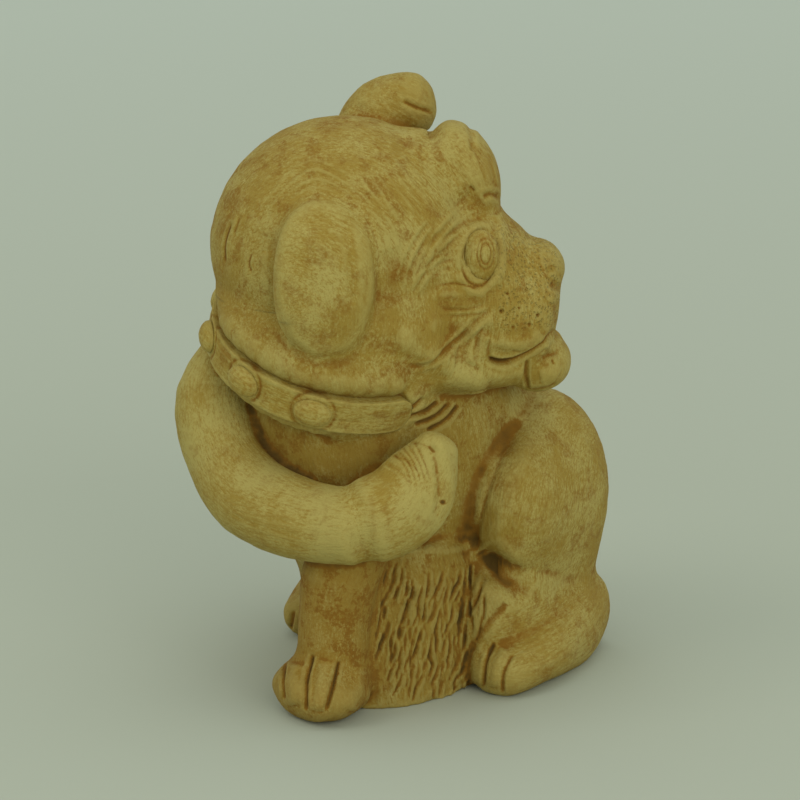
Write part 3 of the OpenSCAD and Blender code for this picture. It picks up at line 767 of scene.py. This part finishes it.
# ---------------------------------------------------------------------------
# The pieces. The skin is taken apart again along the luted joints, each form
# a closed piece of its own that carries its stain and its brushed grain.
# ---------------------------------------------------------------------------
face_form = form[faces]
face_form = np.where((face_form == face_form[:, :1]).sum(1) >= 2, face_form[:, 0], face_form[:, 1])
for _ in range(8):
    # a face alone among others, or a corner where two joints touch, goes to its neighbour
    weight = np.stack([np.bincount(faces.ravel(), np.repeat(face_form == k, 4), len(clay))
                       for k in range(len(LUTED))], 1)
    total = weight[faces].sum(1)
    total[np.arange(len(faces)), face_form] += 0.5
    face_form = total.argmax(1)


def piece_from(name, co, quads, tris):
    mesh = bpy.data.meshes.new(name)
    mesh.vertices.add(len(co))
    mesh.vertices.foreach_set("co", (co / 1000.0).astype(np.float32).ravel())
    corners = np.concatenate([quads.ravel(), tris.ravel()]).astype(np.int32)
    mesh.loops.add(len(corners))
    mesh.loops.foreach_set("vertex_index", corners)
    starts = np.concatenate([np.arange(len(quads)) * 4, len(quads) * 4 + np.arange(len(tris)) * 3])
    mesh.polygons.add(len(quads) + len(tris))
    mesh.polygons.foreach_set("loop_start", starts.astype(np.int32))
    mesh.update(calc_edges=True)
    mesh.validate()
    obj = bpy.data.objects.new(name, mesh)
    bpy.context.scene.collection.objects.link(obj)
    return obj


def with_marks(obj, **marks):
    for name, values in marks.items():
        kind = "FLOAT_VECTOR" if values.ndim == 2 else "FLOAT"
        attribute = obj.data.attributes.new(name, kind, "POINT")
        attribute.data.foreach_set("vector" if values.ndim == 2 else "value",
                                   values.astype(np.float32).ravel())


LIP, TENT = 1.3, 7.0   # how far a joint's lip and the tent behind it go into the clay
cores = {"right_foreleg": line_through(limbs["right_foreleg"], 6),
         "right_forepaw": line_through(limbs["right_forepaw"], 6),
         "trunk": line_through([(-3, 10, 15), (-3, 10, 60), (-3, -8, 95)], 6)}
pieces = {}
for index, n in enumerate(LUTED):
    quads = faces[face_form == index]
    used, quads = np.unique(quads, return_inverse=True)
    quads = quads.reshape(-1, 4)
    directed = np.concatenate([quads[:, [k, (k + 1) % 4]] for k in range(4)])
    keys = np.sort(directed, axis=1)
    _, first, number = np.unique(keys[:, 0].astype(np.int64) * len(used) + keys[:, 1],
                                 return_index=True, return_counts=True)
    rim = directed[first[number == 1]]
    group = {}

    def root(v):
        while group.setdefault(v, v) != v:
            group[v] = group[group[v]]
            v = group[v]
        return v

    for a, b in rim.tolist():
        group[root(a)] = root(b)
    loops = {}
    for a, b in rim.tolist():
        loops.setdefault(root(a), []).append((a, b))
    co = clay[used]
    # each open joint is closed by a lip turned into the clay and a tent behind
    # it, which runs in to one point or, on the long forms, to the form's core
    tips, tris, tip_from = [], [], list(range(len(used)))
    for edges in loops.values():
        ring = [a for a, _ in edges]
        outward = normal[used][ring]
        lip_co = co[ring] - outward * LIP
        lip_at = {a: len(used) + len(tips) + k for k, a in enumerate(ring)}
        tips += list(lip_co)
        start = len(used) + len(tips)
        ends_in = cores.get(n, [lip_co.mean(0) - outward.mean(0) * TENT])
        nearest = [int(np.argmin(((np.array(ends_in) - co[a]) ** 2).sum(1))) for a in ring]
        ends_in = ends_in[min(nearest):max(nearest) + 1]
        ends_at = {a: k - min(nearest) for a, k in zip(ring, nearest)}
        tips += list(ends_in)
        tip_from += ring + ring[:1] * len(ends_in)
        for a, b in edges:
            tris += [(b, a, lip_at[a]), (b, lip_at[a], lip_at[b]),
                     (lip_at[b], lip_at[a], start + ends_at[a])]
            here, there = ends_at[a], ends_at[b]
            while here != there:
                step = 1 if there > here else -1
                tris.append((lip_at[b], start + here, start + here + step))
                here += step
    tips = np.array(tips).reshape(-1, 3)
    tris = np.array(tris, np.int64).reshape(-1, 3)
    piece = piece_from("clay_" + n, np.vstack([co, tips]), quads, tris)
    marked = used[tip_from]
    with_marks(piece, stain=stain[marked], hollow=hollow[marked], stipple=stipple[marked],
               soak=soak[marked], calm=calm[marked], grain=grain[marked] / 1000.0)
    piece.data.shade_smooth()
    # the whole skin's own normals, so that no joint shows as a line, and the mesh's own inside
    piece.data.normals_split_custom_set_from_vertices(
        np.vstack([normal[used], np.zeros((len(tips), 3))]).tolist())
    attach(piece, "root")
    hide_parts(n)
    pieces[n] = piece


# ---------------------------------------------------------------------------
# The finish. Buff clay is washed with iron stain and wiped back with a rag:
# the stain stays orange brown in hollows and streaks, darkest in the deepest
# cuts, and the high spots rub pale and a little green. The hollows are also
# darkened with painted shade, darkest in the deepest hollows.
# ---------------------------------------------------------------------------
def wash_group():
    tree = bpy.data.node_groups.new("wiped_wash", "ShaderNodeTree")
    face = tree.interface
    for name, kind, value in (("Pale", "NodeSocketColor", (0.5, 0.4, 0.1, 1)),
                              ("Warm", "NodeSocketColor", (0.4, 0.3, 0.1, 1)),
                              ("Stain", "NodeSocketColor", (0.3, 0.1, 0.03, 1)),
                              ("DeepWashAndShade", "NodeSocketColor", (0.1, 0.06, 0.01, 1)),
                              ("Grain", "NodeSocketVector", (0, 0, 0)),
                              ("Cut", "NodeSocketFloat", 0.0),
                              ("HollowWashAndShade", "NodeSocketFloat", 0.0),
                              ("Streaks", "NodeSocketFloat", 1.0),
                              ("Stipple", "NodeSocketFloat", 0.0),
                              ("Soak", "NodeSocketFloat", 0.0),
                              ("Calm", "NodeSocketFloat", 0.0)):
        socket = face.new_socket(name, in_out="INPUT", socket_type=kind)
        socket.default_value = value
    for name, kind in (("Color", "NodeSocketColor"), ("Rough", "NodeSocketFloat"),
                       ("Height", "NodeSocketFloat")):
        face.new_socket(name, in_out="OUTPUT", socket_type=kind)
    nodes, link = tree.nodes, tree.links.new
    given, out = nodes.new("NodeGroupInput"), nodes.new("NodeGroupOutput")
    where = nodes.new("ShaderNodeTexCoord").outputs["Object"]

    def noise(vector, scale, stretch=None, detail=4.0, rough=0.6, shift=0.0):
        if stretch or shift:
            mapping = nodes.new("ShaderNodeMapping")
            mapping.inputs["Scale"].default_value = stretch or (1, 1, 1)
            mapping.inputs["Location"].default_value = (shift, shift, shift)
            link(vector, mapping.inputs["Vector"])
            vector = mapping.outputs["Vector"]
        n = nodes.new("ShaderNodeTexNoise")
        n.inputs["Scale"].default_value = scale
        n.inputs["Detail"].default_value = detail
        n.inputs["Roughness"].default_value = rough
        link(vector, n.inputs["Vector"])
        return n.outputs["Fac"]

    def ranged(value, low, high, to_low=0.0, to_high=1.0):
        n = nodes.new("ShaderNodeMapRange")
        n.interpolation_type = "SMOOTHSTEP"
        link(value, n.inputs["Value"])
        for socket, v in zip(("From Min", "From Max", "To Min", "To Max"),
                             (low, high, to_low, to_high)):
            n.inputs[socket].default_value = v
        return n.outputs["Result"]

    def maths(kind, a, b, clamp=False):
        n = nodes.new("ShaderNodeMath")
        n.operation, n.use_clamp = kind, clamp
        for socket, v in zip(n.inputs, (a, b)):
            if isinstance(v, (int, float)):
                socket.default_value = v
            else:
                link(v, socket)
        return n.outputs[0]

    def mixed(share, a, b):
        n = nodes.new("ShaderNodeMix")
        n.data_type = "RGBA"
        colours = [x for x in n.inputs if x.type == "RGBA"]
        link(share, n.inputs[0])
        link(a, colours[0])
        link(b, colours[1])
        return [x for x in n.outputs if x.type == "RGBA"][0]

    g = given.outputs
    patches = noise(where, 48, detail=4, rough=0.6)
    blots = noise(where, 120, detail=5, rough=0.68, shift=0.31)
    broad = noise(g["Grain"], 700, (1, 1, 0.16), 3)
    fine = noise(g["Grain"], 1500, (1, 1, 0.22), 5, 0.75)
    cross = noise(where, 900, detail=5, rough=0.8, shift=0.17)
    speck = noise(where, 1500, detail=3, rough=0.7)
    plain = noise(where, 500, detail=3, shift=0.23)
    fine = maths("ADD", fine, maths("MULTIPLY", maths("SUBTRACT", cross, fine), g["Calm"]))
    broad = maths("ADD", broad, maths("MULTIPLY", maths("SUBTRACT", plain, broad), g["Calm"]))
    rubbed = ranged(g["HollowWashAndShade"], -0.04, -0.34)
    # buff body, paler where rubbed and warmer in broad patches and along the brushing
    warmth = maths("ADD", patches, maths("MULTIPLY", fine, 0.8))
    warmth = maths("ADD", warmth, maths("MULTIPLY", cross, 0.7))
    warmth = maths("ADD", warmth, maths("MULTIPLY", g["Soak"], 0.22))
    warmth = ranged(warmth, 1.06, 1.36)
    warmth = maths("MULTIPLY", warmth, maths("SUBTRACT", 1.0, maths("MULTIPLY", rubbed, 0.5)))
    buff = mixed(warmth, g["Pale"], g["Warm"])
    # stain that stayed in blots, streaks, scratches and specks
    blotted = maths("MULTIPLY", ranged(maths("ADD", blots, maths("MULTIPLY", g["Soak"], 0.10)),
                                       0.51, 0.63, 0, 0.9), ranged(cross, 0.36, 0.58, 0.35, 1))
    streaked = maths("MULTIPLY", ranged(broad, 0.56, 0.72, 0, 0.4), g["Streaks"])
    threads = maths("MULTIPLY", ranged(fine, 0.51, 0.64, 0, 0.55), g["Streaks"])
    dots = ranged(speck, 0.56, 0.66, 0, 0.55)
    kept = maths("MAXIMUM", maths("MAXIMUM", blotted, streaked), maths("MAXIMUM", threads, dots))
    kept = maths("MULTIPLY", kept, maths("SUBTRACT", 1.0, maths("MULTIPLY", rubbed, 0.55)))
    film = maths("MULTIPLY", maths("MAXIMUM", g["Soak"], 0.0), ranged(cross, 0.3, 0.65, 0.35, 0.9))
    kept = maths("MAXIMUM", maths("MULTIPLY", kept, maths("ADD", g["Soak"], 1.0)), film)
    # stain held in the hollows, together with painted shade in them
    held_wash_and_shade = ranged(g["HollowWashAndShade"], 0.02, 0.50, 0, 0.9)
    rag = maths("MULTIPLY", maths("SUBTRACT", speck, 0.5), 0.5)
    cut = ranged(maths("ADD", g["Cut"], maths("MULTIPLY", rag, g["Cut"])), 0.04, 0.75)
    washed = maths("ADD", maths("MAXIMUM", cut, held_wash_and_shade), maths("MULTIPLY", kept, 0.75), True)
    colour = mixed(washed, buff, g["Stain"])
    # the darkest colour: stain in the deepest cuts, and painted shade in the deepest hollows
    deepest_wash_and_shade = maths("MAXIMUM", ranged(g["Cut"], 0.45, 1.0, 0, 0.85),
                    ranged(g["HollowWashAndShade"], 0.35, 0.95, 0, 0.9))
    link(mixed(deepest_wash_and_shade, colour, g["DeepWashAndShade"]), out.inputs["Color"])
    link(ranged(washed, 0, 1, 0.74, 0.92), out.inputs["Rough"])
    ribs = maths("ADD", maths("MULTIPLY", broad, 0.55), maths("MULTIPLY", fine, 0.55))
    dimples = nodes.new("ShaderNodeTexVoronoi")
    dimples.inputs["Scale"].default_value = 900
    link(where, dimples.inputs["Vector"])
    dimpled = maths("MULTIPLY", ranged(dimples.outputs["Distance"], 0.05, 0.45), g["Stipple"])
    grit = maths("ADD", maths("MULTIPLY", speck, 0.4), maths("MULTIPLY", dimpled, 0.9))
    link(maths("ADD", ribs, grit), out.inputs["Height"])
    return tree


wash = wash_group()
PALE, WARM = (0.46, 0.375, 0.105), (0.35, 0.235, 0.034)
# the darkest colour serves both as stain in the deepest cuts and as painted shade in the deepest
# hollows
STAIN, DEEP_WASH_AND_SHADE = (0.25, 0.118, 0.010), (0.080, 0.047, 0.007)


def clay_finish(name, tone=1.0, streaks=1.0, marked=True):
    material = bpy.data.materials.new(name)
    material.use_nodes = True
    nodes, link = material.node_tree.nodes, material.node_tree.links.new
    shader = nodes["Principled BSDF"]
    group = nodes.new("ShaderNodeGroup")
    group.node_tree = wash
    for socket, colour in (("Pale", PALE), ("Warm", WARM), ("Stain", STAIN), ("DeepWashAndShade", DEEP_WASH_AND_SHADE)):
        group.inputs[socket].default_value = tuple(c * tone for c in colour) + (1,)
    group.inputs["Streaks"].default_value = streaks
    if marked:
        for mark, socket, output in (("grain", "Grain", "Vector"), ("stain", "Cut", "Fac"),
                                     ("hollow", "HollowWashAndShade", "Fac"), ("stipple", "Stipple", "Fac"),
                                     ("soak", "Soak", "Fac"), ("calm", "Calm", "Fac")):
            attribute = nodes.new("ShaderNodeAttribute")
            attribute.attribute_name = mark
            link(attribute.outputs[output], group.inputs[socket])
    else:
        link(nodes.new("ShaderNodeTexCoord").outputs["Object"], group.inputs["Grain"])
    bump = nodes.new("ShaderNodeBump")
    bump.inputs["Strength"].default_value = 0.9
    bump.inputs["Distance"].default_value = 0.0006
    link(group.outputs["Height"], bump.inputs["Height"])
    link(group.outputs["Color"], shader.inputs["Base Color"])
    link(group.outputs["Rough"], shader.inputs["Roughness"])
    link(bump.outputs["Normal"], shader.inputs["Normal"])
    shader.inputs["Specular IOR Level"].default_value = 0.3
    return material


finishes = {
    "body_clay": clay_finish("body_clay_finish", 0.98),
    "head_clay": clay_finish("head_clay_finish", 1.0),
    "fur_clay": clay_finish("fur_clay_finish", 0.92),
    "collar_clay": clay_finish("collar_clay_finish", 1.03, 0.8),
    "base_clay": clay_finish("base_clay_finish", 0.9, 0.6, False),
}
slot_of = {"belly_fur": "fur_clay"}
for n, piece in pieces.items():
    slot = slot_of.get(n, "head_clay" if n in HEAD_FORMS else "body_clay")
    piece.data.materials.append(finishes[slot])

# ---------------------------------------------------------------------------
# Eyes. Tall almonds of clay set in the sockets, each with the iris and the
# pupil drawn round with a fine point.
# ---------------------------------------------------------------------------
for n in ("right_eye", "left_eye"):
    low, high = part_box(n)
    centre, tall = np.array((low + high) / 2) * 1000, (high.z - low.z) * 500
    nothing_selected()
    bpy.ops.mesh.primitive_ico_sphere_add(subdivisions=6, radius=1)
    eye = bpy.context.object
    eye.name = "clay_" + n
    ball = places(eye.data)
    co = centre + (np.outer(ball[:, 0], muzzle_way) * 2 / 3 + np.outer(ball[:, 1], left_way) * 5 / 9
                   + ball[:, 2:] * [0, 0, 1]) * tall
    out = np.outer(ball[:, 0], muzzle_way) * 3 / 2 + np.outer(ball[:, 1], left_way) * 9 / 5 \
        + ball[:, 2:] * [0, 0, 1]
    out /= np.linalg.norm(out, axis=1)[:, None]
    shown = over_head(co) if n == "left_eye" else co
    at = drawn(shown) - [28.9, 49.4]
    outward = out @ left_way < 0 if n == "right_eye" else out @ left_way > 0
    iris = np.hypot(at[:, 0] / 2.9, at[:, 1] / 5.3)
    pupil = np.hypot(at[:, 0] / 1.7, at[:, 1] / 3.5)
    ring = (0.8 * np.exp(-((iris - 1) / 0.13) ** 2) + np.exp(-((pupil - 1) / 0.17) ** 2)) * outward
    swell = np.clip(1.3 - iris, 0, 1) * outward
    co = co + out * (0.5 * swell - 0.35 * ring)[:, None]
    put_back(eye.data, co / 1000)
    with_marks(eye, stain=ring * 0.5, hollow=-0.1 * np.ones(len(co)), grain=(co - centre) / 1000)
    eye.data.shade_smooth()
    eye.data.materials.append(finishes["head_clay"])
    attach(eye, "root")
    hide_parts(n)

# ---------------------------------------------------------------------------
# Collar. A strap of clay rolled flat and laid round the neck, cut square at
# the edges, with domed studs pressed on one by one.
# ---------------------------------------------------------------------------
strap_nodes = ["collar"] + sorted(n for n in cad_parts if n.startswith("collar_stud_"))
neck_up = np.array(neck_turn.col[2])
studs_at = [np.array(sum(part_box(n), Vector()) / 2) * 1000 for n in strap_nodes[1:]]
for n in strap_nodes:
    strap = copy_of(n, "clay_" + n)
    applied(strap, "REMESH", mode="VOXEL", voxel_size=0.00045 if n == "collar" else 0.0003)
    links = edge_pairs(strap.data)
    co = smeared(places(strap.data) * 1000, links, 5 if n == "collar" else 8)
    number = neighbours(links, co)
    n_out = facing_out(co, face_corners(strap.data))
    marks = np.zeros(len(co))
    q = co - np.array(neck_mid)
    height = q @ neck_up
    round_at = np.arctan2(q[:, 1], q[:, 0]) * 42
    if n == "collar":
        rolled = np.stack([round_at * 0.07, height * 0.8, height * 0], 1)
        lift = 0.22 * mottled(co * 0.12, 21) + 0.10 * mottled(rolled, 22)
        for centre in studs_at:
            dist = np.linalg.norm(co - centre, axis=1)
            near = np.exp(-((dist - 7.4) / 0.8) ** 2)
            lift -= 0.35 * near
            marks = np.maximum(marks, 0.35 * near)
    else:
        lift = 0.12 * mottled(co * 0.3, 23)
    co = co + n_out * lift[:, None]
    # the strap's hollows, which take stain and painted shade like the body's
    soft = co
    for _ in range(12):
        soft = around(soft, links, number)
    dip = np.clip(((soft - co) * n_out).sum(1) * 2.5, -1, 1)
    put_back(strap.data, co / 1000)
    with_marks(strap, stain=marks, hollow=dip,
               grain=np.stack([height, np.hypot(q[:, 0], q[:, 1]), round_at], 1) / 1000)
    strap.data.shade_smooth()
    strap.data.materials.clear()
    strap.data.materials.append(finishes["collar_clay"])
    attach(strap, "root")
    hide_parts(n)

# ---------------------------------------------------------------------------
# Base slab. A plain slab of the same clay luted in under the trunk, with the
# steam vent through it. Its own shape stays; it only takes the clay's finish.
# ---------------------------------------------------------------------------
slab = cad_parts["base_slab"]
slab.data.materials.clear()
slab.data.materials.append(finishes["base_clay"])

# ---------------------------------------------------------------------------
# Where it stands: a pale table under wide soft lights.
# ---------------------------------------------------------------------------
nothing_selected()
bpy.ops.mesh.primitive_plane_add(size=14, location=(0, 0, cad_box[0][2]))
floor = bpy.context.object
floor.name = "table_top"
paper = bpy.data.materials.new("table_paper")
paper.use_nodes = True
shade = paper.node_tree.nodes["Principled BSDF"]
paper_nodes, paper_link = paper.node_tree.nodes, paper.node_tree.links.new
# painted shade and light: the floor colour runs from darker near the figure to paler farther off,
# standing in for the fall of light
far_off = paper_nodes.new("ShaderNodeVectorMath")
far_off.operation = "LENGTH"
paper_link(paper_nodes.new("ShaderNodeTexCoord").outputs["Object"], far_off.inputs[0])
painted_floor_falloff = paper_nodes.new("ShaderNodeMapRange")
for socket, v in (("From Min", 0.25), ("From Max", 1.5), ("To Min", 0.0), ("To Max", 1.0)):
    painted_floor_falloff.inputs[socket].default_value = v
paper_link(far_off.outputs["Value"], painted_floor_falloff.inputs["Value"])
tint = paper_nodes.new("ShaderNodeMix")
tint.data_type = "RGBA"
near_far = [x for x in tint.inputs if x.type == "RGBA"]
near_far[0].default_value, near_far[1].default_value = (0.50, 0.54, 0.455, 1), (0.64, 0.70, 0.62, 1)
paper_link(painted_floor_falloff.outputs["Result"], tint.inputs[0])
paper_link([x for x in tint.outputs if x.type == "RGBA"][0], shade.inputs["Base Color"])
shade.inputs["Roughness"].default_value = 0.9
shade.inputs["Specular IOR Level"].default_value = 0.1
floor.data.materials.append(paper)

world = bpy.data.worlds.new("studio")
bpy.context.scene.world = world
world.use_nodes = True
world.node_tree.nodes["Background"].inputs["Color"].default_value = (0.86, 0.92, 0.84, 1)
world.node_tree.nodes["Background"].inputs["Strength"].default_value = 0.63
target = Vector(LOOK / 1000)
for name, at, size, power, tint in (("key", (-0.55, -1.7, 1.75), 1.3, 7.2, (1.0, 0.97, 0.88)),
                                    ("fill", (1.9, -0.9, 0.9), 1.6, 14, (1.0, 0.97, 0.88)),
                                    ("top", (0.1, 0.1, 2.1), 1.4, 4, (0.98, 1.0, 0.94))):
    lamp = bpy.data.lights.new(name, "AREA")
    lamp.shape, lamp.size, lamp.energy, lamp.color = "SQUARE", size, power, tint
    light = bpy.data.objects.new(name, lamp)
    light.location = at
    light.rotation_euler = (target - Vector(at)).to_track_quat("-Z", "Y").to_euler()
    bpy.context.scene.collection.objects.link(light)

lens = bpy.data.cameras.new("camera")
lens.sensor_fit, lens.sensor_width = "HORIZONTAL", 36
lens.angle = math.radians(12.84)
camera = bpy.data.objects.new("camera", lens)
camera.location = Vector(stand / 1000)
camera.rotation_euler = Vector(back).to_track_quat("Z", "Y").to_euler()
bpy.context.scene.collection.objects.link(camera)
bpy.context.scene.camera = camera
bpy.context.scene.view_settings.view_transform = "Standard"
